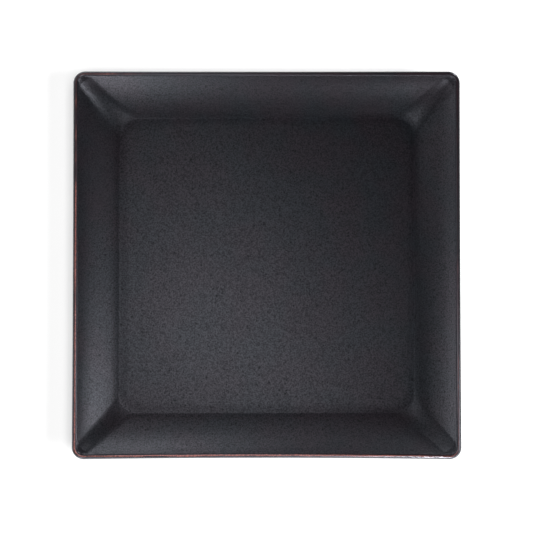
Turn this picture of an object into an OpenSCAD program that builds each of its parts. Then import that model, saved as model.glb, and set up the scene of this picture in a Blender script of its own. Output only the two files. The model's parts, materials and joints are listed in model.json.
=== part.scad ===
// Square stoneware dinner plate with a flat well, a curved wall and a standing foot ring.
// Millimetres, +Z up. The origin is the centre of the foot ring's standing face.
// +Y is the side of the plate that lies furthest from the person eating.

/* [Plate] */
// Width across two opposite rims, glaze included
plate_w = 267; // [220:1:320]
// Height from the table to the top of the rim, glaze included
plate_h = 28; // [24:0.5:32]
// Radius of the rim's corners, seen from above
rim_corner_r = 8.2; // [6:0.2:20]

/* [Well and wall] */
// Run of the wall, from the edge of the well to the middle of the lip
wall_run = 29; // [26:1:36]
// Radius of the tight curve where the wall turns up out of the well
wall_foot_r = 5; // [3:0.5:9]
// Slope that the wall has there, in degrees, before it curves on to the lip
wall_foot_angle = 21; // [15:1:24]
// Radius of the well's corners, where the wall starts to rise
well_corner_r = 14; // [8:1:26]
// Thickness of the clay under the well
floor_t = 5.5; // [4.5:0.5:7]
// Thickness of the clay at the rounded lip
lip_t = 3.8; // [3:0.2:5]
// Run of the curved underside, from its flat to the middle of the lip
under_run = 38; // [34:1:42]
// Radius of the underside's corners, where it starts to rise
under_corner_r = 17; // [10:1:26]

/* [Warp] */
// How far the front side bows in at its middle after firing
front_bow = 0.9; // [0:0.1:2]
// How far the other three sides bow in
side_bow = 0.2; // [0:0.1:2]

/* [Foot ring] */
// Distance from the foot ring to where the underside starts to curve up
foot_inset = 6.5; // [4:0.5:20]
// Height of the foot ring
foot_h = 3.5; // [2:0.5:6]
// Thickness of the foot ring at its root
foot_root_t = 6.5; // [5:0.5:9]
// Slope of each flank of the foot ring, in from the vertical, in degrees
foot_draft = 12; // [0:1:20]
// Radius of the sponged edges beside the standing face
foot_edge_r = 0.9; // [0.4:0.1:1.5]
// Radius of the foot ring's outside corners
foot_corner_r = 18; // [12:1:30]

/* [Glaze] */
// Thickness of the glaze in the well and on the back
glaze_t = 0.5; // [0.3:0.1:0.8]
// Thickness of the glaze on the lip, where it thins
lip_glaze_t = 0.2; // [0.1:0.05:0.3]
// Thickness of the glaze inside the foot ring
base_glaze_t = 0.4; // [0.2:0.1:0.7]
// Half of the lip's arc, in degrees, over which the glaze breaks to rust
break_arc = 28; // [15:1:40]
// Bare clay left between the glaze and the foot ring
wax_gap = 1.5; // [0.5:0.5:3]

/* [Hidden] */

// Facets: steps in each corner, along each side and along each arc of the section
corner_steps = 7;
side_steps = 4;
wall_foot_steps = 3;
wall_steps = 10;
lip_side_steps = 3;
break_steps = 4;
under_steps = 10;
$fn = 64;

// The lip is a half-round edge. Its middle is where the wall's two faces meet it.
plate_half = plate_w / 2;
lip_r = lip_t / 2;
lip_x = plate_half - lip_r - lip_glaze_t;
lip_z = plate_h - lip_r - lip_glaze_t;

// Upper face: a tight arc turns up out of the flat well, and a wide one runs on into the lip.
// The wide arc's chord goes from its start to the middle of the lip, both lip_r into the clay.
well_z = foot_h + floor_t;
well_half = lip_x - wall_run;
wall_foot = [well_half, well_z] + wall_foot_r * [sin(wall_foot_angle), 1 - cos(wall_foot_angle)];
wall_chord = [lip_x, lip_z] - wall_foot - lip_r * [sin(wall_foot_angle), -cos(wall_foot_angle)];
wall_angle = 2 * atan2(wall_chord.y, wall_chord.x) - wall_foot_angle;
wall_r = norm(wall_chord) / (2 * sin((wall_angle - wall_foot_angle) / 2)) - lip_r;

// Lower face: an arc that leaves the flat underside level and runs into the lip
under_z = foot_h;
under_half = lip_x - under_run;
under_angle = 2 * atan((lip_z - under_z - lip_r) / under_run);
under_r = under_run / sin(under_angle) + lip_r;

// The foot ring stands on the flat of the underside, and the glaze stops short of it
foot_half = under_half - foot_inset;
foot_inner_half = foot_half - foot_root_t;
foot_inner_corner_r = foot_corner_r - foot_root_t;
back_line_half = foot_half + wax_gap;
back_line_corner_r = foot_corner_r + wax_gap;
base_line_half = foot_inner_half - wax_gap;
base_line_corner_r = foot_inner_corner_r - wax_gap;

stoneware = "#8a5f4a";
matte_black = "#2f2f33";
rust_break = "#7a4034";
brown_black = "#2a2424";

// Corner radius of the upper and lower faces at a given half width: the rim's at the rim,
// growing to the well's or the underside's where the face turns flat
function corner_between(half, flat_half, flat_corner_r) =
    let (share = (half - flat_half) / (plate_half - flat_half))
    flat_corner_r + (rim_corner_r - flat_corner_r) * share;

// A station is one ring of the section: [half width, height, corner radius, normal, coat].
// The normal points out of the clay in the plane of the section, and coat is the glaze over it.
function wall_station(p, a) =
    let (share = (p.x - well_half) / wall_run)
    [
        p.x,
        p.y,
        corner_between(p.x, well_half, well_corner_r),
        [-sin(a), cos(a)],
        glaze_t + (lip_glaze_t - glaze_t) * share * share
    ];

function wall_foot_station(i) =
    let (a = wall_foot_angle * i / wall_foot_steps)
    wall_station([well_half, well_z] + wall_foot_r * [sin(a), 1 - cos(a)], a);

function wall_rise_station(i) =
    let (a = wall_foot_angle + (wall_angle - wall_foot_angle) * i / wall_steps)
    wall_station(
        wall_foot + wall_r * [sin(a) - sin(wall_foot_angle), cos(wall_foot_angle) - cos(a)], a);

function lip_station(a) =
    let (half = lip_x + lip_r * cos(a))
    [half, lip_z + lip_r * sin(a), rim_corner_r + half - plate_half, [cos(a), sin(a)], lip_glaze_t];

function under_station(i) =
    let (
        share = i / under_steps,
        a = under_angle * (1 - share),
        half = under_half + under_r * sin(a)
    )
    [
        half,
        under_z + under_r * (1 - cos(a)),
        corner_between(half, under_half, under_corner_r),
        [sin(a), -cos(a)],
        lip_glaze_t + (glaze_t - lip_glaze_t) * (1 - (1 - share) * (1 - share))
    ];

// The station where the glaze on the back stops, on the flat of the underside
back_line_station = [back_line_half, under_z, back_line_corner_r, [0, -1], glaze_t];

// Stations along the lip from one angle to another. The first is left out where skip is 1.
function lip_stations(from, to, steps, skip = 0) =
    [for (i = [skip:steps]) lip_station(from + (to - from) * i / steps)];

// The lip's arc starts at the top of the wall, crosses the crest at 90 degrees, is widest
// at 0 and ends where it meets the underside
face_stations = concat(
    [for (i = [0:wall_foot_steps - 1]) wall_foot_station(i)],
    [for (i = [0:wall_steps - 1]) wall_rise_station(i)],
    lip_stations(90 + wall_angle, 90 + break_arc, lip_side_steps)
);
rim_stations = lip_stations(90 + break_arc, 90 - break_arc, break_steps);
back_stations = concat(
    lip_stations(90 - break_arc, 0, lip_side_steps),
    lip_stations(0, under_angle - 90, lip_side_steps, skip = 1),
    [for (i = [1:under_steps]) under_station(i)]
);

// Every station of the clay, from the well over the lip to the underside, each once
clay_stations = concat(
    face_stations,
    [for (i = [1:len(rim_stations) - 1]) rim_stations[i]],
    [for (i = [1:len(back_stations) - 1]) back_stations[i]]
);

// The same station on the outside of its glaze
function glazed(s) =
    let (normal = s[3], t = s[4])
    [s[0] + normal.x * t, s[1] + normal.y * t, s[2] + normal.x * t, normal, t];

// How far a side bows in: nothing inside the foot ring, all of it at the rim
function ease(share) = share * share * (3 - 2 * share);
function bow_out_from_foot(out) =
    ease(min(1, max(0, (out - back_line_half) / (plate_half - back_line_half))));
function bow_along_side(along) = max(0, 1 - pow(along / (plate_half - rim_corner_r), 2));
function bowed(p, z) = [
    p.x - sign(p.x) * side_bow * bow_out_from_foot(abs(p.x)) * bow_along_side(p.y),
    p.y - sign(p.y) * (p.y < 0 ? front_bow : side_bow) * bow_out_from_foot(abs(p.y)) * bow_along_side(p.x),
    z
];

// Centre of a corner's arc. Corners count anticlockwise, from 0 at +X +Y.
function corner_centre(k, c) = [cos(90 * k) - sin(90 * k), sin(90 * k) + cos(90 * k)] * c;

// One ring of points: a square with round corners, its sides split so that they can bow
function ring(s) =
    let (z = s[1], r = s[2], c = s[0] - r)
    [
        for (k = [0:3]) each concat(
            [
                for (i = [0:corner_steps])
                    let (a = 90 * (k + i / corner_steps))
                    bowed(corner_centre(k, c) + r * [cos(a), sin(a)], z)
            ],
            [
                for (i = [1:side_steps - 1])
                    let (
                        a = 90 * (k + 1),
                        share = i / side_steps,
                        centre = corner_centre(k, c) * (1 - share) + corner_centre(k + 1, c) * share
                    )
                    bowed(centre + r * [cos(a), sin(a)], z)
            ]
        )
    ];

// A closed solid through rings of equal length. It is capped at both ends, or looped,
// where the last ring joins the first. Quads are split the same way in every solid, so that
// the clay and its glaze share their facets. The path through the rings runs clockwise, seen
// with the plate's middle on the left, unless anticlockwise is true.
module loft(rings, looped = false, anticlockwise = false) {
    n = len(rings[0]);
    m = len(rings);
    sides = [
        for (i = [0:m - (looped ? 1 : 2)], j = [0:n - 1])
            let (
                a = i * n + j,
                b = i * n + (j + 1) % n,
                c = (i + 1) % m * n + (j + 1) % n,
                d = (i + 1) % m * n + j
            )
            each [[a, c, b], [a, d, c]]
    ];
    caps = looped ? [] : [
        [for (j = [0:n - 1]) j],
        [for (j = [0:n - 1]) m * n - 1 - j]
    ];
    faces = [
        for (f = concat(sides, caps))
            anticlockwise ? f : [for (i = [len(f) - 1:-1:0]) f[i]]
    ];
    polyhedron(points = [for (r = rings) each r], faces = faces, convexity = 6);
}

// A coat of glaze over some of the clay's stations. With a floor it also covers all that
// the first ring encloses.
module coat(stations, floor = false) {
    last = len(stations) - 1;
    under = [for (s = stations) ring(s)];
    over = [for (i = [0:last]) ring(glazed(stations[last - i]))];
    loft(concat(under, over), looped = !floor, anticlockwise = true);
}

// Flat square with round corners
module rounded_square(half, r) {
    square(2 * [half, half - r], center = true);
    square(2 * [half - r, half], center = true);
    for (x = [-1, 1], y = [-1, 1])
        translate([x, y] * (half - r)) circle(r);
}

// Carries a flat section, drawn with x = 0 at the path, round a square with round corners
module sweep_round(half, r) {
    straight = 2 * (half - r);
    for (k = [0:3]) rotate(90 * k) {
        translate([half, straight / 2, 0])
            rotate([90, 0, 0])
                linear_extrude(straight) children();
        translate([half - r, half - r, 0])
            rotate_extrude(angle = 90)
                translate([r, 0]) children();
    }
}

// Section of the foot ring: drafted flanks and sponged edges beside a flat standing face
module foot_section() {
    lean = foot_h * tan(foot_draft);
    root_out = 0;
    root_in = -foot_root_t;
    // The sponged edge is an arc that touches the flank and the standing face
    edge_in = foot_edge_r * tan(45 - foot_draft / 2);
    toe_out = root_out - lean - edge_in;
    toe_in = root_in + lean + edge_in;
    touch_x = foot_edge_r * cos(foot_draft);
    touch_z = foot_edge_r * (1 - sin(foot_draft));
    polygon([
        [root_in, foot_h],
        [toe_in - touch_x, touch_z],
        [toe_in, 0],
        [toe_out, 0],
        [toe_out + touch_x, touch_z],
        [root_out, foot_h]
    ]);
    for (side = [-1, 1])
        translate([side < 0 ? toe_in : toe_out, foot_edge_r]) circle(foot_edge_r);
}

module clay_body() {
    color(stoneware) loft([for (s = clay_stations) ring(s)]);
}

module foot_ring() {
    color(stoneware) sweep_round(foot_half, foot_corner_r) foot_section();
}

module face_glaze() {
    color(matte_black) coat(face_stations, floor = true);
}

module rim_glaze() {
    color(rust_break) coat(rim_stations);
}

module back_glaze() {
    color(brown_black) coat(concat(back_stations, [back_line_station]));
}

module base_glaze() {
    color(brown_black)
        translate([0, 0, under_z - base_glaze_t])
            linear_extrude(base_glaze_t) rounded_square(base_line_half, base_line_corner_r);
}

clay_body();
foot_ring();
face_glaze();
rim_glaze();
back_glaze();
base_glaze();
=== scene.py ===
import json
import math

import bmesh
import bpy
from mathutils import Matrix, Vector


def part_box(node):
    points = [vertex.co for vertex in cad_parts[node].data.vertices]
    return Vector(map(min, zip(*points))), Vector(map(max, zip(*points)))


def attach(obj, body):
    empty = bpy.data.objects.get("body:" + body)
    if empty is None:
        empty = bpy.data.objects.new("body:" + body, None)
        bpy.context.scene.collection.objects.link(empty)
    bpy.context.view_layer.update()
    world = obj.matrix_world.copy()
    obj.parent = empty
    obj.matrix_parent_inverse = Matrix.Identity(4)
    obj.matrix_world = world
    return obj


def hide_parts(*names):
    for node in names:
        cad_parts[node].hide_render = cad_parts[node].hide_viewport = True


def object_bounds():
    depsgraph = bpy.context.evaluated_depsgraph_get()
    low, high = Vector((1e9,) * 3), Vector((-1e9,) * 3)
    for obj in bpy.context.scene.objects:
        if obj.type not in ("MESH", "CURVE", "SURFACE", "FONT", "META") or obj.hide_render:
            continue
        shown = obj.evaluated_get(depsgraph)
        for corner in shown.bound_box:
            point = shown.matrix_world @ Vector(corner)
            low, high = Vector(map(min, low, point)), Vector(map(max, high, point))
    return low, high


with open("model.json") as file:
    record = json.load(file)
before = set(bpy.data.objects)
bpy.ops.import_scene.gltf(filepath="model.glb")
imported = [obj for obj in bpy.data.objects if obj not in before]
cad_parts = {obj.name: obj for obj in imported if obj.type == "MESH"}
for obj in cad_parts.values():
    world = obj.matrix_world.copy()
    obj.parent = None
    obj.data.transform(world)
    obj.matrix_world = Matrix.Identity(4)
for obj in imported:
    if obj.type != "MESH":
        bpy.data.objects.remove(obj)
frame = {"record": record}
cadLow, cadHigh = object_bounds()
print("frame loaded")


# Sizes. Metres, as everywhere in this file. What the frame knows is read from it.

plate = {
    "lipThickness": 0.0038,   # clay at the rounded lip
    "wallRun": 0.029,         # edge of the well to the middle of the lip
    "wallFoot": 0.005,        # radius of the tight curve where the wall leaves the well
    "wallFootAngle": 21,      # its slope there, degrees
    "underRun": 0.038,        # edge of the underside's flat to the middle of the lip
    "rimCorner": 0.0082,      # corner radii, seen from above
    "wellCorner": 0.014,
    "underCorner": 0.017,
    "footCorner": 0.018,
    "footRoot": 0.0065,       # thickness of the foot where it meets the plate
    "footDraft": 12,          # slope of its flanks, degrees
    "footEdge": 0.0009,       # radius of its sponged edges
    "frontBow": 0.0009,       # how far each side bows in at its middle
    "sideBow": 0.0002,
    "breakArc": 28,           # degrees of lip on each side of the crest that break to rust
    "waxGap": 0.0015,         # bare clay beside the foot
}

clayLow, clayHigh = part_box("clay_body")
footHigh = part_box("foot_ring")[1]
baseLow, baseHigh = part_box("base_glaze")
mounts = {mount["name"]: mount["pos_m"] for mount in frame["record"]["mounts"]}

plateHalf = cadHigh.x
lipRadius = plate["lipThickness"] / 2
lipGlaze = cadHigh.z - clayHigh.z
lipX = clayHigh.x - lipRadius
lipZ = clayHigh.z - lipRadius

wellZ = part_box("face_glaze")[0].z
wellGlaze = mounts["well_floor"][2] - wellZ
wellHalf = lipX - plate["wallRun"]
footAngle = math.radians(plate["wallFootAngle"])
footTurn = Vector((math.sin(footAngle), 1 - math.cos(footAngle)))
wallFoot = Vector((wellHalf, wellZ)) + plate["wallFoot"] * footTurn
footNormal = Vector((math.sin(footAngle), -math.cos(footAngle)))
wallChord = Vector((lipX, lipZ)) - wallFoot - lipRadius * footNormal
wallAngle = 2 * math.atan2(wallChord.y, wallChord.x) - footAngle
wallRadius = wallChord.length / (2 * math.sin((wallAngle - footAngle) / 2)) - lipRadius

underZ = clayLow.z
underHalf = lipX - plate["underRun"]
underAngle = 2 * math.atan((lipZ - underZ - lipRadius) / plate["underRun"])
underRadius = plate["underRun"] / math.sin(underAngle) + lipRadius

footHalf = footHigh.x
backLine = footHalf + plate["waxGap"]
baseHalf = baseHigh.x
baseGlaze = baseHigh.z - baseLow.z
breakArc = math.radians(plate["breakArc"])


# Node helpers, used by the geometry tree and by every material

def newNode(tree, kind, **settings):
    node = tree.nodes.new(kind)
    for name, value in settings.items():
        setattr(node, name, value)
    return node


def feed(tree, value, socket):
    # value is another node's output, or a plain number, colour or vector
    if isinstance(value, bpy.types.NodeSocket):
        tree.links.new(value, socket)
    else:
        socket.default_value = value


def calc(tree, operation, *terms):
    node = newNode(tree, "ShaderNodeMath", operation=operation)
    for term, socket in zip(terms, node.inputs):
        feed(tree, term, socket)
    return node.outputs[0]


def whole(tree, operation, *terms):
    node = newNode(tree, "FunctionNodeIntegerMath", operation=operation)
    for term, socket in zip(terms, node.inputs):
        feed(tree, term, socket)
    return node.outputs[0]


def turned(tree, vector, angle):
    node = newNode(tree, "ShaderNodeVectorRotate", rotation_type="Z_AXIS")
    feed(tree, vector, node.inputs["Vector"])
    feed(tree, angle, node.inputs["Angle"])
    return node.outputs["Vector"]


def vectorOf(tree, x=0.0, y=0.0, z=0.0):
    node = newNode(tree, "ShaderNodeCombineXYZ")
    for value, socket in zip((x, y, z), node.inputs):
        feed(tree, value, socket)
    return node.outputs["Vector"]


def partsOf(tree, vector):
    node = newNode(tree, "ShaderNodeSeparateXYZ")
    feed(tree, vector, node.inputs["Vector"])
    return node.outputs["X"], node.outputs["Y"], node.outputs["Z"]


def ranged(tree, value, fromLow, fromHigh, toLow=0.0, toHigh=1.0, smooth=True):
    shape = "SMOOTHSTEP" if smooth else "LINEAR"
    node = newNode(tree, "ShaderNodeMapRange", interpolation_type=shape)
    for term, name in ((value, "Value"), (fromLow, "From Min"), (fromHigh, "From Max"),
                       (toLow, "To Min"), (toHigh, "To Max")):
        feed(tree, term, node.inputs[name])
    return node.outputs["Result"]


# The geometry tree: it carries a section round the plate. The section is a chain of points at
# (half width, 0, height). Each has its corner radius, and the three distances that the finishes
# read: across the lip from its crest, from the line where the glaze stops beside the foot, and
# outwards from the edge of the well.

distanceNames = ("acrossLip", "toWaxLine", "fromWellEdge")
sewGap = 2e-6                     # points nearer than this become one
crispFold = math.radians(40)      # an edge that turns more than this stays sharp

ringTreeInputs = (
    ("Corner Steps", "NodeSocketInt"),
    ("Side Steps", "NodeSocketInt"),
    ("Plate Half", "NodeSocketFloat"),
    ("Rim Corner", "NodeSocketFloat"),
    ("Bow Start", "NodeSocketFloat"),
    ("Front Bow", "NodeSocketFloat"),
    ("Side Bow", "NodeSocketFloat"),
    ("Wave Height", "NodeSocketFloat"),
    ("Wave Length", "NodeSocketFloat"),
    ("Wave Start", "NodeSocketFloat"),
    ("Wave End", "NodeSocketFloat"),
    ("Wave Seed", "NodeSocketFloat"),
    ("Finish", "NodeSocketMaterial"),
)


def buildRingTree():
    tree = bpy.data.node_groups.new("carryRoundPlate", "GeometryNodeTree")
    tree.is_modifier = True
    tree.interface.new_socket("Section", in_out="INPUT", socket_type="NodeSocketGeometry")
    for name, kind in ringTreeInputs:
        tree.interface.new_socket(name, in_out="INPUT", socket_type=kind)
    tree.interface.new_socket("Piece", in_out="OUTPUT", socket_type="NodeSocketGeometry")
    given = newNode(tree, "NodeGroupInput").outputs
    section = given["Section"]

    # One row of the grid for each point of the section, one column for each step of the ring
    size = newNode(tree, "GeometryNodeAttributeDomainSize", component="MESH")
    feed(tree, section, size.inputs["Geometry"])
    rows = size.outputs["Point Count"]
    quarter = whole(tree, "ADD", given["Corner Steps"], given["Side Steps"])
    grid = newNode(tree, "GeometryNodeMeshGrid")
    feed(tree, rows, grid.inputs["Vertices Y"])
    feed(tree, whole(tree, "MULTIPLY_ADD", quarter, 4, 1), grid.inputs["Vertices X"])
    index = newNode(tree, "GeometryNodeInputIndex").outputs["Index"]
    column = whole(tree, "DIVIDE_FLOOR", index, rows)
    row = whole(tree, "MODULO", index, rows)

    def fromSection(value, kind):
        node = newNode(tree, "GeometryNodeSampleIndex", data_type=kind, domain="POINT")
        feed(tree, section, node.inputs["Geometry"])
        feed(tree, value, node.inputs["Value"])
        feed(tree, row, node.inputs["Index"])
        return node.outputs["Value"]

    def named(name):
        node = newNode(tree, "GeometryNodeInputNamedAttribute", data_type="FLOAT")
        node.inputs["Name"].default_value = name
        return node.outputs["Attribute"]

    sectionPoint = newNode(tree, "GeometryNodeInputPosition").outputs["Position"]
    half, _, height = partsOf(tree, fromSection(sectionPoint, "FLOAT_VECTOR"))
    radius = fromSection(named("cornerRadius"), "FLOAT")

    # Round the corner first, then along the side to the next corner
    cornerNumber = whole(tree, "DIVIDE_FLOOR", column, quarter)
    step = whole(tree, "MODULO", column, quarter)
    turn = calc(tree, "MINIMUM", calc(tree, "DIVIDE", step, given["Corner Steps"]), 1.0)
    sideStep = calc(tree, "SUBTRACT", step, given["Corner Steps"])
    along = calc(tree, "MAXIMUM", calc(tree, "DIVIDE", sideStep, given["Side Steps"]), 0.0)
    quarterTurn = math.pi / 2
    thisCorner = calc(tree, "MULTIPLY", cornerNumber, quarterTurn)
    nextCorner = calc(tree, "ADD", thisCorner, quarterTurn)
    reach = calc(tree, "SUBTRACT", half, radius)
    centre = newNode(tree, "ShaderNodeMix", data_type="VECTOR")
    feed(tree, along, centre.inputs["Factor"])
    feed(tree, turned(tree, vectorOf(tree, reach, reach), thisCorner), centre.inputs["A"])
    feed(tree, turned(tree, vectorOf(tree, reach, reach), nextCorner), centre.inputs["B"])
    spokeAngle = calc(tree, "MULTIPLY_ADD", turn, quarterTurn, thisCorner)
    spoke = turned(tree, vectorOf(tree, radius), spokeAngle)
    flat = newNode(tree, "ShaderNodeVectorMath", operation="ADD")
    feed(tree, centre.outputs["Result"], flat.inputs[0])
    feed(tree, spoke, flat.inputs[1])
    x, y, _ = partsOf(tree, flat.outputs["Vector"])

    # The sides bow in, most at their middle and at the rim
    straight = calc(tree, "SUBTRACT", given["Plate Half"], given["Rim Corner"])

    def bowed(out, side, bow):
        growth = ranged(tree, calc(tree, "ABSOLUTE", out), given["Bow Start"], given["Plate Half"])
        share = calc(tree, "DIVIDE", side, straight)
        arch = calc(tree, "SUBTRACT", 1.0, calc(tree, "MULTIPLY", share, share))
        arch = calc(tree, "MAXIMUM", arch, 0.0)
        inward = calc(tree, "MULTIPLY", calc(tree, "MULTIPLY", bow, growth), arch)
        return calc(tree, "SUBTRACT", out, calc(tree, "MULTIPLY", calc(tree, "SIGN", out), inward))

    isFront = calc(tree, "LESS_THAN", y, 0.0)
    isBack = calc(tree, "SUBTRACT", 1.0, isFront)
    endBow = calc(tree, "ADD", calc(tree, "MULTIPLY", isFront, given["Front Bow"]),
                  calc(tree, "MULTIPLY", isBack, given["Side Bow"]))
    bowedX = bowed(x, y, given["Side Bow"])
    bowedY = bowed(y, x, endBow)

    # The kiln leaves the clay very slightly wavy. Nothing at the foot moves, and nothing rises.
    wave = newNode(tree, "ShaderNodeTexNoise", noise_dimensions="4D")
    feed(tree, vectorOf(tree, bowedX, bowedY), wave.inputs["Vector"])
    feed(tree, given["Wave Seed"], wave.inputs["W"])
    feed(tree, calc(tree, "DIVIDE", 1.0, given["Wave Length"]), wave.inputs["Scale"])
    wave.inputs["Detail"].default_value = 1.0
    depth = calc(tree, "MULTIPLY", wave.outputs["Fac"], given["Wave Height"])
    raised = ranged(tree, height, given["Wave Start"], given["Wave End"])
    wavyHeight = calc(tree, "SUBTRACT", height, calc(tree, "MULTIPLY", depth, raised))

    laid = newNode(tree, "GeometryNodeSetPosition")
    feed(tree, grid.outputs["Mesh"], laid.inputs["Geometry"])
    feed(tree, vectorOf(tree, bowedX, bowedY, wavyHeight), laid.inputs["Position"])
    carried = laid
    for name in distanceNames:
        kept = newNode(tree, "GeometryNodeStoreNamedAttribute", data_type="FLOAT", domain="POINT")
        feed(tree, carried.outputs["Geometry"], kept.inputs["Geometry"])
        kept.inputs["Name"].default_value = name
        feed(tree, fromSection(named(name), "FLOAT"), kept.inputs["Value"])
        carried = kept

    # The ring, the closed section and the middle of the floor are sewn up, and edges stay crisp
    sewn = newNode(tree, "GeometryNodeMergeByDistance")
    feed(tree, carried.outputs["Geometry"], sewn.inputs["Geometry"])
    sewn.inputs["Distance"].default_value = sewGap
    smooth = newNode(tree, "GeometryNodeSetShadeSmooth", domain="FACE")
    feed(tree, sewn.outputs["Geometry"], smooth.inputs["Geometry"])
    fold = newNode(tree, "GeometryNodeInputMeshEdgeAngle").outputs["Unsigned Angle"]
    crisp = newNode(tree, "GeometryNodeSetShadeSmooth", domain="EDGE")
    feed(tree, smooth.outputs["Geometry"], crisp.inputs["Geometry"])
    feed(tree, calc(tree, "GREATER_THAN", fold, crispFold), crisp.inputs["Selection"])
    crisp.inputs["Shade Smooth"].default_value = False

    real = newNode(tree, "GeometryNodeRealizeInstances")
    feed(tree, crisp.outputs["Geometry"], real.inputs["Geometry"])
    finished = newNode(tree, "GeometryNodeSetMaterial")
    feed(tree, real.outputs["Geometry"], finished.inputs["Geometry"])
    feed(tree, given["Finish"], finished.inputs["Material"])
    feed(tree, finished.outputs["Geometry"], newNode(tree, "NodeGroupOutput").inputs["Piece"])
    return tree


ringTree = buildRingTree()

ringValues = {
    "Corner Steps": 16,
    "Side Steps": 34,
    "Plate Half": plateHalf,
    "Rim Corner": plate["rimCorner"],
    "Bow Start": backLine,
    "Front Bow": plate["frontBow"],
    "Side Bow": plate["sideBow"],
    "Wave Height": 0.0003,
    "Wave Length": 0.09,
    "Wave Start": underZ,
    "Wave End": wellZ,
    "Wave Seed": 4.0,
}


# Sections. A point is (half width, height, corner radius).

sectionSteps = {
    "well": 36, "wallFoot": 8, "wall": 40, "crest": 22, "outerLip": 36, "under": 30,
    "hidden": 12,             # each face that lies inside the plate
    "bead": 5,                # the edge of a coat beside the foot
    "base": 12,
    "footArc": 6, "footFlank": 4,
    "clayWell": 8, "clayUnder": 4,
}


def cornerAt(half, flatHalf, flatCorner):
    share = (half - flatHalf) / (plateHalf - flatHalf)
    return flatCorner + (plate["rimCorner"] - flatCorner) * share


def wellPoints(height, steps):
    # From the middle of the floor to the edge of the well, in squares of the well's own shape
    return [(wellHalf * i / steps, height, plate["wellCorner"] * i / steps) for i in range(steps)]


def wallPoints(steps, glazed):
    # A tight arc turns up out of the well, and a wide one runs on to the lip
    places = []
    for i in range(sectionSteps["wallFoot"]):
        angle = footAngle * i / sectionSteps["wallFoot"]
        places.append((wellHalf + plate["wallFoot"] * math.sin(angle),
                       wellZ + plate["wallFoot"] * (1 - math.cos(angle)), angle))
    for i in range(steps):
        angle = footAngle + (wallAngle - footAngle) * i / steps
        places.append((wallFoot.x + wallRadius * (math.sin(angle) - math.sin(footAngle)),
                       wallFoot.y + wallRadius * (math.cos(footAngle) - math.cos(angle)), angle))
    points = []
    for half, height, angle in places:
        share = (half - wellHalf) / plate["wallRun"]
        coat = wellGlaze + (lipGlaze - wellGlaze) * share ** 2 if glazed else 0.0
        inset = coat * math.sin(angle)
        corner = cornerAt(half, wellHalf, plate["wellCorner"])
        points.append((half - inset, height + coat * math.cos(angle), corner - inset))
    return points


def lipPoints(start, end, steps, glazed):
    # Angles run from the level outside of the lip, 0, up over the crest at a quarter turn
    coat = lipGlaze if glazed else 0.0
    points = []
    for i in range(steps + 1):
        angle = start + (end - start) * i / steps
        half = lipX + (lipRadius + coat) * math.cos(angle)
        height = lipZ + (lipRadius + coat) * math.sin(angle)
        points.append((half, height, plate["rimCorner"] + half - plateHalf))
    return points


def underPoints(steps, glazed):
    points = []
    for i in range(1, steps + 1):
        share = i / steps
        angle = underAngle * (1 - share)
        coat = lipGlaze + (wellGlaze - lipGlaze) * (1 - (1 - share) ** 2) if glazed else 0.0
        half = underHalf + underRadius * math.sin(angle)
        corner = cornerAt(half, underHalf, plate["underCorner"])
        outset = coat * math.sin(angle)
        height = underZ + underRadius * (1 - math.cos(angle)) - coat * math.cos(angle)
        points.append((half + outset, height, corner + outset))
    return points


def beadPoints(half, corner, thickness, side):
    # The rounded edge where a coat stops beside the foot, from its face up to the clay
    points = []
    for i in range(1, sectionSteps["bead"] + 1):
        angle = math.pi / 2 * i / sectionSteps["bead"]
        reach = half + side * thickness * (1 - math.sin(angle))
        points.append((reach, underZ - thickness * math.cos(angle), corner + reach - half))
    return points


crest = math.pi / 2
wallTop = crest + wallAngle
breakIn, breakOut = crest + breakArc, crest - breakArc
underTop = underAngle - crest

farAway = 1.0                     # a distance past the reach of every effect
hair = 1e-5                       # less than any step in height


def sectionChain(name, points):
    # A mesh of edges alone, with the values that the tree reads. It closes on itself, unless
    # both its ends lie on the plate's axis.
    mesh = bpy.data.meshes.new(name)
    chain = points + points[:1] if points[-1][0] else points
    mesh.from_pydata([(half, 0, height) for half, height, _ in chain],
                     [(i, i + 1) for i in range(len(chain) - 1)], [])
    values = {"cornerRadius": [min(radius, half) for half, _, radius in chain]}
    for label, distance in zip(distanceNames, (acrossLip, toWaxLine, fromWellEdge)):
        values[label] = [distance(half, height) for half, height, _ in chain]
    for label, numbers in values.items():
        mesh.attributes.new(label, "FLOAT", "POINT").data.foreach_set("value", numbers)
    return mesh


def acrossLip(half, height):
    # Signed distance from the crest, over the surface: negative towards the well
    out, up = half - lipX, height - lipZ
    lipAngle, away = math.atan2(up, out), math.hypot(out, up)
    radius = lipRadius + lipGlaze
    if underTop <= lipAngle <= wallTop and away < 2 * lipRadius:
        return (crest - lipAngle) * radius
    if lipAngle > wallTop or lipAngle < -math.pi / 2 and height > wellZ + lipRadius:
        return -(wallAngle * radius + away)       # on the wall
    return (crest - underTop) * radius + away     # on the underside


def toWaxLine(half, height):
    if height > underZ + lipRadius:
        return farAway
    return min(abs(half - backLine), abs(half - baseHalf))


def fromWellEdge(half, height):
    # Signed distance from the edge of the well, positive towards the rim
    return half - wellHalf if height > wellZ - hair else farAway


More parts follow.
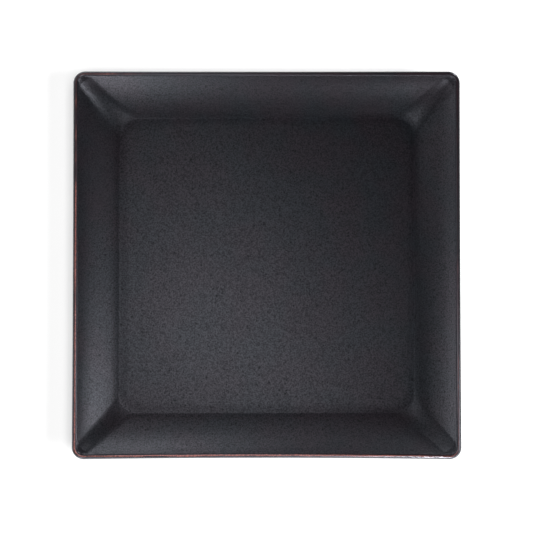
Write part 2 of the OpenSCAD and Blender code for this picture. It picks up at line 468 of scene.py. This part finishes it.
def makePiece(name, points, finish, node):
    mesh = sectionChain(name + "Section", points)
    piece = bpy.data.objects.new(name, mesh)
    bpy.context.scene.collection.objects.link(piece)
    modifier = piece.modifiers.new("carryRoundPlate", "NODES")
    modifier.node_group = ringTree
    values = dict(ringValues, Finish=finish)
    for item in ringTree.interface.items_tree:
        if item.in_out == "INPUT" and item.name in values:
            modifier[item.identifier] = values[item.name]
    bpy.context.view_layer.update()
    made = piece.evaluated_get(bpy.context.evaluated_depsgraph_get())
    solid = bpy.data.meshes.new_from_object(made)
    piece.modifiers.clear()
    piece.data = solid
    solid.name = name
    solid.polygons.foreach_set("material_index", [0] * len(solid.polygons))
    while len(solid.materials) > 1:
        solid.materials.pop(index=0)  # the empty slot that the section had
    bpy.data.meshes.remove(mesh)
    work = bmesh.new()
    work.from_mesh(solid)
    bmesh.ops.recalc_face_normals(work, faces=work.faces)
    work.to_mesh(solid)
    work.free()
    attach(piece, "root")
    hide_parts(node)
    print(name, "made:", len(solid.polygons), "faces")
    return piece


# Shader groups: effects that more than one finish uses

def newGroup(name, given, made):
    tree = bpy.data.node_groups.new(name, "ShaderNodeTree")
    for label, kind in given:
        tree.interface.new_socket(label, in_out="INPUT", socket_type=kind)
    for label in made:
        tree.interface.new_socket(label, in_out="OUTPUT", socket_type="NodeSocketFloat")
    return tree, newNode(tree, "NodeGroupInput").outputs, newNode(tree, "NodeGroupOutput").inputs


def scaled(tree, vector, size):
    # Coordinates in which one unit is size metres
    node = newNode(tree, "ShaderNodeVectorMath", operation="SCALE")
    feed(tree, vector, node.inputs["Vector"])
    feed(tree, calc(tree, "DIVIDE", 1.0, size), node.inputs["Scale"])
    return node.outputs["Vector"]


seedStep = 37.3                   # how far one seed's pattern lies from the next, in its own units


def texture(tree, vector, kind="Noise", seed=0.0, **values):
    # A noise or Voronoi texture, moved by its fixed seed
    node = newNode(tree, "ShaderNodeTex" + kind)
    moved = newNode(tree, "ShaderNodeVectorMath", operation="ADD")
    feed(tree, vector, moved.inputs[0])
    feed(tree, calc(tree, "MULTIPLY", seed, seedStep), moved.inputs[1])
    feed(tree, moved.outputs["Vector"], node.inputs["Vector"])
    node.inputs["Scale"].default_value = 1.0
    for name, value in values.items():
        node.inputs[name].default_value = value
    return node.outputs


def spots(tree, vector, seed, small, large, edge):
    # Round spots of mixed size, one in most cells of the Voronoi texture
    cells = texture(tree, vector, "Voronoi", seed)
    pick = partsOf(tree, cells["Color"])[0]
    reach = ranged(tree, pick, 0.0, 1.0, small, large, smooth=False)
    return ranged(tree, cells["Distance"], reach, calc(tree, "ADD", reach, edge), 1.0, 0.0)


# In the three dictionaries that follow, a row of three numbers is for round spots: the least and
# the greatest radius and the soft edge, in cells of the pattern. A cell whose radius comes out
# below zero stays empty. A row of two with no note is the span of a noise over which an effect
# grows from nothing to full.

speckleLook = {
    "small": (-0.20, 0.34, 0.12),
    "large": (-0.30, 0.20, 0.14),
    "largeCell": 2.3,             # in small cells
    "largeSeed": 7.0,
    "grain": (0.33, 0.67),
    "cloudSize": 0.030,
    "cloud": (0.35, 0.65),
    "spotHeight": -0.5,           # spots are dents, and the grain stands up
    "grainHeight": 1.2,
}


def buildSpeckle():
    look = speckleLook
    tree, given, made = newGroup(
        "glazeSpeckle",
        (("Position", "NodeSocketVector"), ("Spot Spacing", "NodeSocketFloat"),
         ("Grain Size", "NodeSocketFloat"), ("Seed", "NodeSocketFloat")),
        ("Spots", "Grain", "Cloud", "Height"))
    position, seed = given["Position"], given["Seed"]
    fine = scaled(tree, position, given["Spot Spacing"])
    largeCell = calc(tree, "MULTIPLY", given["Spot Spacing"], look["largeCell"])
    coarse = scaled(tree, position, largeCell)
    small = spots(tree, fine, seed, *look["small"])
    large = spots(tree, coarse, calc(tree, "ADD", seed, look["largeSeed"]), *look["large"])
    both = calc(tree, "MAXIMUM", small, large)
    grain = texture(tree, scaled(tree, position, given["Grain Size"]), seed=seed, Detail=1.0)["Fac"]
    cloud = texture(tree, scaled(tree, position, look["cloudSize"]), seed=seed, Detail=4.0)["Fac"]
    swell = calc(tree, "MULTIPLY", grain, look["grainHeight"])
    feed(tree, both, made["Spots"])
    feed(tree, ranged(tree, grain, *look["grain"], smooth=False), made["Grain"])
    feed(tree, ranged(tree, cloud, *look["cloud"]), made["Cloud"])
    feed(tree, calc(tree, "MULTIPLY_ADD", both, look["spotHeight"], swell), made["Height"])
    return tree


rimLook = {
    "driftSize": 0.016,           # the line of rust wanders and changes in width
    "drift": 0.0009,
    "driftSpan": (0.25, 0.75),
    "width": (0.75, 1.5),         # over that span, its width times this
    "nibbleSize": 0.0018,         # its edges are ragged
    "nibble": 0.0010,
    "edge": (0.35, 1.25),         # it fades over this span, in half widths of the line
    "gloss": (0.0005, 0.0014),    # the crest is glossy up to here, and satin from here
    "patchSize": 0.030,           # and the rust comes and goes in patches
    "patchSeed": 3.0,
    "patch": (0.38, 0.72),
}


def buildRimBreak():
    look = rimLook
    tree, given, made = newGroup(
        "rimBreak",
        (("Position", "NodeSocketVector"), ("Across", "NodeSocketFloat"),
         ("Line Half", "NodeSocketFloat"), ("Line Offset", "NodeSocketFloat"),
         ("Tilt", "NodeSocketFloat"), ("Seed", "NodeSocketFloat")),
        ("Rust", "Gloss", "Patch"))
    position, across, seed = given["Position"], given["Across"], given["Seed"]
    drift = texture(tree, scaled(tree, position, look["driftSize"]), seed=seed, Detail=2.0)["Fac"]
    nibble = texture(tree, scaled(tree, position, look["nibbleSize"]), seed=seed, Detail=2.0)["Fac"]
    wander = calc(tree, "SUBTRACT", drift, 0.5)
    middle = calc(tree, "MULTIPLY_ADD", wander, look["drift"], given["Line Offset"])
    away = calc(tree, "ABSOLUTE", calc(tree, "SUBTRACT", across, middle))
    ragged = calc(tree, "MULTIPLY_ADD", calc(tree, "SUBTRACT", nibble, 0.5), look["nibble"], away)
    width = ranged(tree, drift, *look["driftSpan"], *look["width"])
    wide = calc(tree, "MULTIPLY", given["Line Half"], width)
    fadeStart, fadeEnd = (calc(tree, "MULTIPLY", wide, share) for share in look["edge"])
    feed(tree, ranged(tree, ragged, fadeStart, fadeEnd, 1.0, 0.0), made["Rust"])
    fromCrest = calc(tree, "ABSOLUTE", across)
    feed(tree, ranged(tree, fromCrest, *look["gloss"], 1.0, 0.0), made["Gloss"])
    # The plate was tilted as the glaze ran off, so the coat is thinnest at the near left corner
    patchSeed = calc(tree, "ADD", seed, look["patchSeed"])
    patchAt = scaled(tree, position, look["patchSize"])
    patch = texture(tree, patchAt, seed=patchSeed, Detail=3.0)["Fac"]
    x, y, _ = partsOf(tree, position)
    slope = calc(tree, "MULTIPLY", given["Tilt"], -1.0)
    tilted = calc(tree, "MULTIPLY_ADD", calc(tree, "ADD", x, y), slope, patch)
    feed(tree, ranged(tree, tilted, *look["patch"]), made["Patch"])
    return tree


gritLook = {
    "iron": (-0.35, 0.22, 0.10),
    "grog": (-0.30, 0.28, 0.12),
    "grogSeed": 5.0,
    "grogHeight": 0.5,
    "bodySize": 0.0004,
    "cloudSize": 0.012,
    "cloud": (0.3, 0.7),
}


def buildGrit():
    look = gritLook
    tree, given, made = newGroup(
        "clayGrit",
        (("Position", "NodeSocketVector"), ("Grain Size", "NodeSocketFloat"),
         ("Seed", "NodeSocketFloat")),
        ("Iron", "Grog", "Cloud", "Height"))
    position, seed = given["Position"], given["Seed"]
    at = scaled(tree, position, given["Grain Size"])
    iron = spots(tree, at, seed, *look["iron"])
    grog = spots(tree, at, calc(tree, "ADD", seed, look["grogSeed"]), *look["grog"])
    body = texture(tree, scaled(tree, position, look["bodySize"]), seed=seed, Detail=3.0)["Fac"]
    cloud = texture(tree, scaled(tree, position, look["cloudSize"]), seed=seed, Detail=3.0)["Fac"]
    feed(tree, iron, made["Iron"])
    feed(tree, grog, made["Grog"])
    feed(tree, ranged(tree, cloud, *look["cloud"]), made["Cloud"])
    feed(tree, calc(tree, "MULTIPLY_ADD", grog, look["grogHeight"], body), made["Height"])
    return tree


speckleGroup, rimBreakGroup, gritGroup = buildSpeckle(), buildRimBreak(), buildGrit()


def useGroup(tree, group, **values):
    # An underscore in a name stands for the space in the socket's name
    node = newNode(tree, "ShaderNodeGroup", node_tree=group)
    for name, value in values.items():
        feed(tree, value, node.inputs[name.replace("_", " ")])
    return node.outputs


def mixed(tree, share, low, high):
    # For colours, the node's socket 0 is the share, 6 and 7 are the two and 2 is the result
    node = newNode(tree, "ShaderNodeMix", data_type="RGBA")
    feed(tree, share, node.inputs[0])
    for colour, socket in ((low, node.inputs[6]), (high, node.inputs[7])):
        feed(tree, colour if isinstance(colour, bpy.types.NodeSocket) else (*colour, 1), socket)
    return node.outputs[2]


def attribute(tree, name):
    return newNode(tree, "ShaderNodeAttribute", attribute_name=name).outputs["Fac"]


def newFinish(name):
    material = bpy.data.materials.new(name)
    material.use_nodes = True
    tree = material.node_tree
    position = newNode(tree, "ShaderNodeTexCoord").outputs["Object"]
    return material, tree, tree.nodes["Principled BSDF"], position


def addBump(tree, shader, height, distance):
    bump = newNode(tree, "ShaderNodeBump")
    bump.inputs["Distance"].default_value = distance
    feed(tree, height, bump.inputs["Height"])
    feed(tree, bump.outputs["Normal"], shader.inputs["Normal"])


def filletHeight(tree, gap, radius):
    # How far a curve of this radius fills the corner between the well and the wall
    reach = radius * math.tan(footAngle / 2)
    inside = calc(tree, "MAXIMUM", calc(tree, "SUBTRACT", reach, gap), 0.0)
    return calc(tree, "DIVIDE", calc(tree, "MULTIPLY", inside, inside), 2 * radius)


glaze = {
    "cool": (0.0050, 0.0072, 0.0086),    # satin black, where it leans blue and where it leans warm
    "warm": (0.0102, 0.0062, 0.0082),
    "grainDark": 0.70,                   # how much darker the glaze is where the grain is high
    "spot": (0.0010, 0.0010, 0.0012),
    "bend": 1.33,                        # low for a glaze, as its satin face scatters much light
    "spotSpacing": 0.0016,
    "grainSize": 0.0009,
    "roughness": 0.40,
    "spotRoughness": 0.08,               # added in a spot
    "gloss": 0.86,                       # how much of the surface has a thin glassy film
    "grainGloss": 0.54,                  # how much of it the grain and the spots take away
    "spotGloss": 0.28,
    "filmRoughness": 0.30,
    "crystal": 0.31,                     # iron crystals in the grain dull the rest of the shine
    "bumpDepth": 0.00006,
    "lipFlat": 0.8,                      # how much of the bump is gone on the glossy crest
    "shadeDepth": 0.85,                        # painted shade: how much duller the shine is along the wall's foot
    "shadeNearLeft": 0.34,                # the share of that which is left at the near left
    "shadeLine": (-0.0020, 0.0004),       # middle of the painted shade at the near left and at the far right
    "shadeReach": 0.0055,
    "shadeDark": 0.5,                     # how much the painted shade dulls the rest of the shine
    "leanSpan": (-0.08, 0.08),           # x plus y at the near left and at the far right
    "softFoot": 0.025,                   # radius of the curve that it shows at the wall's foot
    "rust": (0.085, 0.024, 0.016),       # where the glaze breaks over the crest
    "rustPale": (0.210, 0.080, 0.060),
    "rustRoughness": 0.16,
    "leastRust": 0.08,
    "lineHalf": 0.00046,
    "lineOffset": 0.0001,
    "lineSeed": 2.0,
    "tilt": 1.6,                         # how much more it breaks towards the near left corner
    "thin": (0.060, 0.026, 0.016),       # where it thins to nothing beside the foot
    "thinShare": 0.85,
    "thinSpan": (0.0010, 0.0040),
    "thinRagged": 0.002,
}


def paintedFootShade(tree, position):
    # Painted shade along the wall's foot: how much the shine is dulled there. It is weaker and
    # further in at the near left, and deep at the far right.
    x, y, _ = partsOf(tree, position)
    lean = ranged(tree, calc(tree, "ADD", x, y), *glaze["leanSpan"])
    least = glaze["shadeNearLeft"]
    depth = calc(tree, "MULTIPLY_ADD", lean, 1 - least, least)
    depth = calc(tree, "MULTIPLY", depth, glaze["shadeDepth"])
    nearLine, farLine = glaze["shadeLine"]
    line = calc(tree, "MULTIPLY_ADD", lean, farLine - nearLine, nearLine)
    away = calc(tree, "ABSOLUTE", calc(tree, "SUBTRACT", attribute(tree, "fromWellEdge"), line))
    return ranged(tree, away, 0.0, glaze["shadeReach"], depth, 0.0)


def softFootHeight(tree):
    # What the glaze's soft curve at the foot of the wall adds to the height of the tight one
    middle = plate["wallFoot"] * math.tan(footAngle / 2)
    gap = calc(tree, "ABSOLUTE", calc(tree, "SUBTRACT", attribute(tree, "fromWellEdge"), middle))
    return calc(tree, "SUBTRACT", filletHeight(tree, gap, glaze["softFoot"]),
                filletHeight(tree, gap, plate["wallFoot"]))


def glazeFinish(name, seed):
    material, tree, shader, position = newFinish(name)
    speckle = useGroup(tree, speckleGroup, Position=position, Spot_Spacing=glaze["spotSpacing"],
                       Grain_Size=glaze["grainSize"], Seed=seed)
    lip = useGroup(tree, rimBreakGroup, Position=position, Across=attribute(tree, "acrossLip"),
                   Line_Half=glaze["lineHalf"], Line_Offset=glaze["lineOffset"],
                   Tilt=glaze["tilt"], Seed=glaze["lineSeed"])
    offLip = calc(tree, "SUBTRACT", 1.0, lip["Gloss"])
    spotShare = calc(tree, "MULTIPLY", speckle["Spots"], offLip)
    grainShare = calc(tree, "MULTIPLY", speckle["Grain"], offLip)

    # Black with its grain and spots, brown where it thins beside the foot, rust on the crest
    colour = mixed(tree, speckle["Cloud"], glaze["cool"], glaze["warm"])
    grainDark = calc(tree, "MULTIPLY", speckle["Grain"], glaze["grainDark"])
    colour = mixed(tree, grainDark, colour, glaze["spot"])
    colour = mixed(tree, spotShare, colour, glaze["spot"])
    fromClay = calc(tree, "MULTIPLY_ADD", speckle["Grain"], glaze["thinRagged"],
                    attribute(tree, "toWaxLine"))
    thinShare = ranged(tree, fromClay, *glaze["thinSpan"], 1.0, 0.0)
    thinShare = calc(tree, "MULTIPLY", thinShare, glaze["thinShare"])
    colour = mixed(tree, thinShare, colour, glaze["thin"])
    least = glaze["leastRust"]
    rustShare = calc(tree, "MULTIPLY_ADD", lip["Patch"], 1 - least, least)
    rustShare = calc(tree, "MULTIPLY", lip["Rust"], rustShare)
    paleShare = calc(tree, "MULTIPLY", lip["Patch"], speckle["Grain"])
    rust = mixed(tree, paleShare, glaze["rust"], glaze["rustPale"])
    feed(tree, mixed(tree, rustShare, colour, rust), shader.inputs["Base Color"])

    # Satin, with a glassy film that is full on the crest, broken by grain and spots, and dulled
    # by painted shade at the wall's foot
    satin = calc(tree, "MULTIPLY_ADD", spotShare, glaze["spotRoughness"], glaze["roughness"])
    change = calc(tree, "SUBTRACT", glaze["rustRoughness"], satin)
    roughness = calc(tree, "MULTIPLY_ADD", lip["Gloss"], change, satin)
    feed(tree, roughness, shader.inputs["Roughness"])
    dull = calc(tree, "MULTIPLY_ADD", spotShare, glaze["spotGloss"],
                calc(tree, "MULTIPLY", grainShare, glaze["grainGloss"]))
    film = calc(tree, "MAXIMUM", calc(tree, "SUBTRACT", glaze["gloss"], dull), 0.0)
    # Painted shade: along the wall's foot the film thins and the metallic share rises, which dulls
    # the shine
    paintedShade = paintedFootShade(tree, position)
    film = calc(tree, "MULTIPLY", film, calc(tree, "SUBTRACT", 1.0, paintedShade))
    feed(tree, film, shader.inputs["Coat Weight"])
    crystals = calc(tree, "MULTIPLY", grainShare, glaze["crystal"])
    metal = calc(tree, "MULTIPLY_ADD", paintedShade, glaze["shadeDark"], crystals)
    feed(tree, metal, shader.inputs["Metallic"])
    shader.inputs["Coat Roughness"].default_value = glaze["filmRoughness"]
    shader.inputs["Coat IOR"].default_value = glaze["bend"]
    shader.inputs["IOR"].default_value = glaze["bend"]

    rough = calc(tree, "MULTIPLY_ADD", lip["Gloss"], -glaze["lipFlat"], 1.0)
    grainHeight = calc(tree, "MULTIPLY", speckle["Height"], rough)
    height = calc(tree, "MULTIPLY_ADD", grainHeight, glaze["bumpDepth"], softFootHeight(tree))
    addBump(tree, shader, height, 1.0)
    return material


clay = {
    "pale": (0.330, 0.190, 0.125),
    "toasted": (0.235, 0.120, 0.072),    # flashed darker in the kiln
    "iron": (0.060, 0.030, 0.020),
    "ironShare": 0.85,
    "grog": (0.460, 0.330, 0.250),
    "grogShare": 0.6,
    "grainSize": 0.0022,
    "roughness": 0.76,
    "gritRoughness": 0.12,               # added where the grit stands up
    "bumpDepth": 0.00012,
    "spongeSmooth": 0.08,                # what sponging takes off the roughness
    "spongeFlat": 0.5,                   # and the share of the bump
}


def clayFinish(name, seed, sponged):
    # sponged is 1 where the clay was wiped smooth and 0 where it is raw
    material, tree, shader, position = newFinish(name)
    grit = useGroup(tree, gritGroup, Position=position, Grain_Size=clay["grainSize"], Seed=seed)
    grogShare = calc(tree, "MULTIPLY", grit["Grog"], clay["grogShare"])
    ironShare = calc(tree, "MULTIPLY", grit["Iron"], clay["ironShare"])
    colour = mixed(tree, grit["Cloud"], clay["pale"], clay["toasted"])
    colour = mixed(tree, grogShare, colour, clay["grog"])
    colour = mixed(tree, ironShare, colour, clay["iron"])
    feed(tree, colour, shader.inputs["Base Color"])
    least = clay["roughness"] - clay["spongeSmooth"] * sponged
    roughness = calc(tree, "MULTIPLY_ADD", grit["Height"], clay["gritRoughness"], least)
    feed(tree, roughness, shader.inputs["Roughness"])
    addBump(tree, shader, grit["Height"], clay["bumpDepth"] * (1 - clay["spongeFlat"] * sponged))
    return material


satinBlack = glazeFinish("satinBlack", 1.0)
brokenRim = glazeFinish("brokenRim", 1.0)
backBlack = glazeFinish("backBlack", 11.0)
bareClay = clayFinish("bareClay", 3.0, 0)
spongedClay = clayFinish("spongedClay", 6.0, 1)
print("finishes made")


# Pieces

def sectionOfFace():
    outer = (wellPoints(wellZ + wellGlaze, sectionSteps["well"])
             + wallPoints(sectionSteps["wall"], True)
             + lipPoints(wallTop, breakIn, sectionSteps["hidden"], True))
    inner = (wellPoints(wellZ, sectionSteps["hidden"]) + wallPoints(sectionSteps["wall"], False)
             + lipPoints(wallTop, breakIn, sectionSteps["hidden"], False))
    return outer + inner[::-1]


def sectionOfRim():
    outer = lipPoints(breakIn, breakOut, sectionSteps["crest"], True)
    inner = lipPoints(breakIn, breakOut, sectionSteps["crest"], False)
    return outer + inner[::-1]


def sectionOfBack():
    backCorner = plate["footCorner"] + plate["waxGap"]
    outer = (lipPoints(breakOut, underTop, sectionSteps["outerLip"], True)
             + underPoints(sectionSteps["under"], True)
             + [(backLine + wellGlaze, underZ - wellGlaze, backCorner + wellGlaze)]
             + beadPoints(backLine, backCorner, wellGlaze, 1))
    inner = (lipPoints(breakOut, underTop, sectionSteps["hidden"], False)
             + underPoints(sectionSteps["under"], False))
    return outer + inner[::-1]


def sectionOfBase():
    corner = plate["footCorner"] - (footHalf - baseHalf)
    steps = sectionSteps["base"]
    middle = [(baseHalf * i / steps, underZ - baseGlaze, corner * i / steps) for i in range(steps)]
    edge = [(baseHalf - baseGlaze, underZ - baseGlaze, corner - baseGlaze)]
    return middle + edge + beadPoints(baseHalf, corner, baseGlaze, -1) + [(0, underZ, 0)]


def sectionOfFoot():
    # Drafted flanks and a standing face, with an arc that touches both at each edge
    draft = math.radians(plate["footDraft"])
    edge = plate["footEdge"]
    lean = footHigh.z * math.tan(draft) + edge * math.tan(math.pi / 4 - draft / 2)
    arcSteps, flankSteps = sectionSteps["footArc"], sectionSteps["footFlank"]
    angles = [-draft - (math.pi / 2 - draft) * i / arcSteps for i in range(arcSteps + 1)]
    points = []
    for root, side in ((footHalf, 1), (footHalf - plate["footRoot"], -1)):
        toe = root - side * lean
        arc = [(toe + side * edge * math.cos(angle), edge * (1 + math.sin(angle)))
               for angle in angles]
        out, down = arc[0][0] - root, arc[0][1] - underZ
        flank = [(root + out * i / flankSteps, underZ + down * i / flankSteps)
                 for i in range(flankSteps)]
        points += (flank + arc)[::side]
    return [(half, height, plate["footCorner"] + half - footHalf) for half, height in points]


def sectionOfClay():
    top = wellPoints(wellZ, sectionSteps["clayWell"]) + wallPoints(sectionSteps["hidden"], False)
    lip = lipPoints(wallTop, underTop, sectionSteps["hidden"], False)
    steps = sectionSteps["clayUnder"]
    flat = [(underHalf * i / steps, underZ, plate["underCorner"] * i / steps)
            for i in range(steps - 1, -1, -1)]
    return top + lip + underPoints(sectionSteps["hidden"], False) + flat


faceGlaze = makePiece("faceGlaze", sectionOfFace(), satinBlack, "face_glaze")
rimGlaze = makePiece("rimGlaze", sectionOfRim(), brokenRim, "rim_glaze")
backGlaze = makePiece("backGlaze", sectionOfBack(), backBlack, "back_glaze")
baseCoat = makePiece("baseGlaze", sectionOfBase(), backBlack, "base_glaze")
clayBody = makePiece("clayBody", sectionOfClay(), bareClay, "clay_body")
footRing = makePiece("footRing", sectionOfFoot(), spongedClay, "foot_ring")


# The room: floor, camera and lamps

paper = {
    "half": 3,
    "colour": (0.80, 0.80, 0.80),
    "grainSize": 0.0006,
    "grainDark": 0.985,
    "roughness": 0.9,
    "glow": 0.26,             # what the camera and reflections see on top of the lit colour
    "farGlow": 1.0,           # the same where the lamps don't reach
    "lampReach": (0.30, 1.0),
}


def paperFinish():
    material, tree, shader, position = newFinish("whitePaper")
    grain = texture(tree, scaled(tree, position, paper["grainSize"]), seed=1.0, Detail=2.0)["Fac"]
    darker = tuple(part * paper["grainDark"] for part in paper["colour"])
    feed(tree, mixed(tree, grain, darker, paper["colour"]), shader.inputs["Base Color"])
    shader.inputs["Roughness"].default_value = paper["roughness"]
    # White seen by the camera, by reflections and through glass, while the shadow stays
    seen = newNode(tree, "ShaderNodeLightPath").outputs
    looks = calc(tree, "MAXIMUM", seen["Is Camera Ray"], seen["Is Glossy Ray"])
    looks = calc(tree, "MAXIMUM", looks, seen["Is Transmission Ray"])
    away = newNode(tree, "ShaderNodeVectorMath", operation="LENGTH")
    feed(tree, position, away.inputs[0])
    glow = ranged(tree, away.outputs["Value"], *paper["lampReach"], paper["glow"], paper["farGlow"])
    shader.inputs["Emission Color"].default_value = (1, 1, 1, 1)
    feed(tree, calc(tree, "MULTIPLY", looks, glow), shader.inputs["Emission Strength"])
    return material


floorMesh = bpy.data.meshes.new("floor")
far = paper["half"]
corners = [(-far, -far, 0), (far, -far, 0), (far, far, 0), (-far, far, 0)]
floorMesh.from_pydata(corners, [], [(0, 1, 2, 3)])
floorMesh.materials.append(paperFinish())
floor = bpy.data.objects.new("floor", floorMesh)
bpy.context.scene.collection.objects.link(floor)

view = {
    "distance": 1.1,          # from the middle of the rim to the lens
    "lens": 108.2,
    "tilt": 2.1,              # degrees from straight down, with the front edge nearer
    "aim": (-0.0001, -0.0015),
}
camera = bpy.data.objects.new("camera", bpy.data.cameras.new("camera"))
bpy.context.scene.collection.objects.link(camera)
tilt = math.radians(view["tilt"])
camera.data.lens = view["lens"]
camera.rotation_euler = (tilt, 0, 0)
camera.location = (view["aim"][0], view["aim"][1] - view["distance"] * math.sin(tilt),
                   cadHigh.z + view["distance"] * math.cos(tilt))
bpy.context.scene.camera = camera

roomGlow = 0.01
world = bpy.data.worlds.new("room")
world.use_nodes = True
background = world.node_tree.nodes["Background"]
background.inputs["Color"].default_value = (1, 1, 1, 1)
background.inputs["Strength"].default_value = roomGlow
bpy.context.scene.world = world

# Softboxes stand round the table and face the plate, and three hang over it. Azimuth is in
# degrees anticlockwise from the right side of the picture. A row with more than one box spreads
# them over its arc. Two more light only the rim and the outside of the plate, and two only the
# paper, which shows one soft shadow, to the left.
softboxes = {
    # name: (first and last azimuth, boxes, elevation, width, height, watts of each)
    "rightFront": (296, 331, 3, 21, 0.37, 0.22, 2.2),
    "rightStrip": (344, 344, 1, 28, 0.12, 0.40, 3.5),
    "rightHigh": (342, 342, 1, 47, 0.26, 0.22, 1.6),
    "leftFront": (246, 246, 1, 14, 0.15, 0.44, 5.4),
    "leftFrontLow": (248, 248, 1, 6, 0.13, 0.18, 3.1),
    "leftFrontHigh": (240, 240, 1, 33, 0.30, 0.22, 1.5),
    "left": (195, 195, 1, 20, 0.33, 0.66, 1.5),
    "leftLow": (190, 190, 1, 7, 0.50, 0.22, 1.7),
    "backHigh": (109, 145, 2, 33, 0.60, 0.64, 1.5),
    "backLow": (113, 148, 2, 7, 0.58, 0.22, 2.1),
    "back": (100, 100, 1, 14, 0.15, 0.44, 1.1),
    "rightBack": (54, 54, 1, 8, 0.16, 0.26, 9.0),
    "rightBackHigh": (45, 45, 1, 33, 0.30, 0.22, 0.2),
}
softboxDistance = 1.0
overhead = {
    # name: (x, y, height, width, depth, watts)
    "overFront": (-0.082, -0.070, 0.7, 0.18, 0.16, 0.64),
    "overBack": (-0.105, 0.04, 0.7, 0.18, 0.27, 0.34),
    "overRight": (0.05, -0.13, 0.7, 0.09, 0.09, 0.20),
}
rimLamps = {
    # name: (azimuth, elevation, width, height, watts)
    "frontCard": (288, 4, 0.90, 0.08, 7.0),
    "glint": (287, 41, 0.06, 0.05, 11.0),
}
paperLamps = {
    # name: (azimuth, elevation, distance, side, watts)
    "paperKey": (-15, 45, 1.2, 0.55, 16.0),
    "paperFill": (0, 90, 2.0, 1.2, 38.0),
}
softboxTint = (0.85, 0.86, 0.97)
paperTint = (1, 1, 1)


def receivers(name, pieces):
    group = bpy.data.collections.new(name)
    for piece in pieces:
        group.objects.link(piece)
    return group


allPieces = (faceGlaze, rimGlaze, backGlaze, baseCoat, clayBody, footRing)
platePieces = receivers("platePieces", allPieces)
rimPieces = receivers("rimPieces", (rimGlaze, backGlaze))
paperPieces = receivers("paperPieces", (floor,))


def around(azimuth, elevation, distance):
    turn, rise = math.radians(azimuth), math.radians(elevation)
    level = math.cos(rise)
    return distance * Vector((math.cos(turn) * level, math.sin(turn) * level, math.sin(rise)))


def hangSoftbox(name, at, aim, width, height, watts, tint, lit):
    # A lamp that only the pieces in the collection lit receive
    light = bpy.data.lights.new(name, "AREA")
    light.shape, light.size, light.size_y = "RECTANGLE", width, height
    light.energy, light.color = watts, tint
    box = bpy.data.objects.new(name, light)
    box.location = at
    box.rotation_euler = (Vector(aim) - Vector(at)).to_track_quat("-Z", "Y").to_euler()
    box.visible_camera = False
    box.light_linking.receiver_collection = lit
    bpy.context.scene.collection.objects.link(box)


plateMiddle = (0, 0, 0)
for name, (first, last, boxes, elevation, width, height, watts) in softboxes.items():
    for i in range(boxes):
        azimuth = first + (last - first) * i / max(boxes - 1, 1)
        at = around(azimuth, elevation, softboxDistance)
        hangSoftbox(name, at, plateMiddle, width, height, watts, softboxTint, platePieces)
for name, (x, y, height, width, depth, watts) in overhead.items():
    hangSoftbox(name, (x, y, height), (x, y, 0), width, depth, watts, softboxTint, platePieces)
for name, (azimuth, elevation, width, height, watts) in rimLamps.items():
    at = around(azimuth, elevation, softboxDistance)
    hangSoftbox(name, at, plateMiddle, width, height, watts, softboxTint, rimPieces)
for name, (azimuth, elevation, distance, side, watts) in paperLamps.items():
    at = around(azimuth, elevation, distance)
    hangSoftbox(name, at, plateMiddle, side, side, watts, paperTint, paperPieces)
print("lamps hung")

bpy.context.scene.view_settings.view_transform = "Standard"
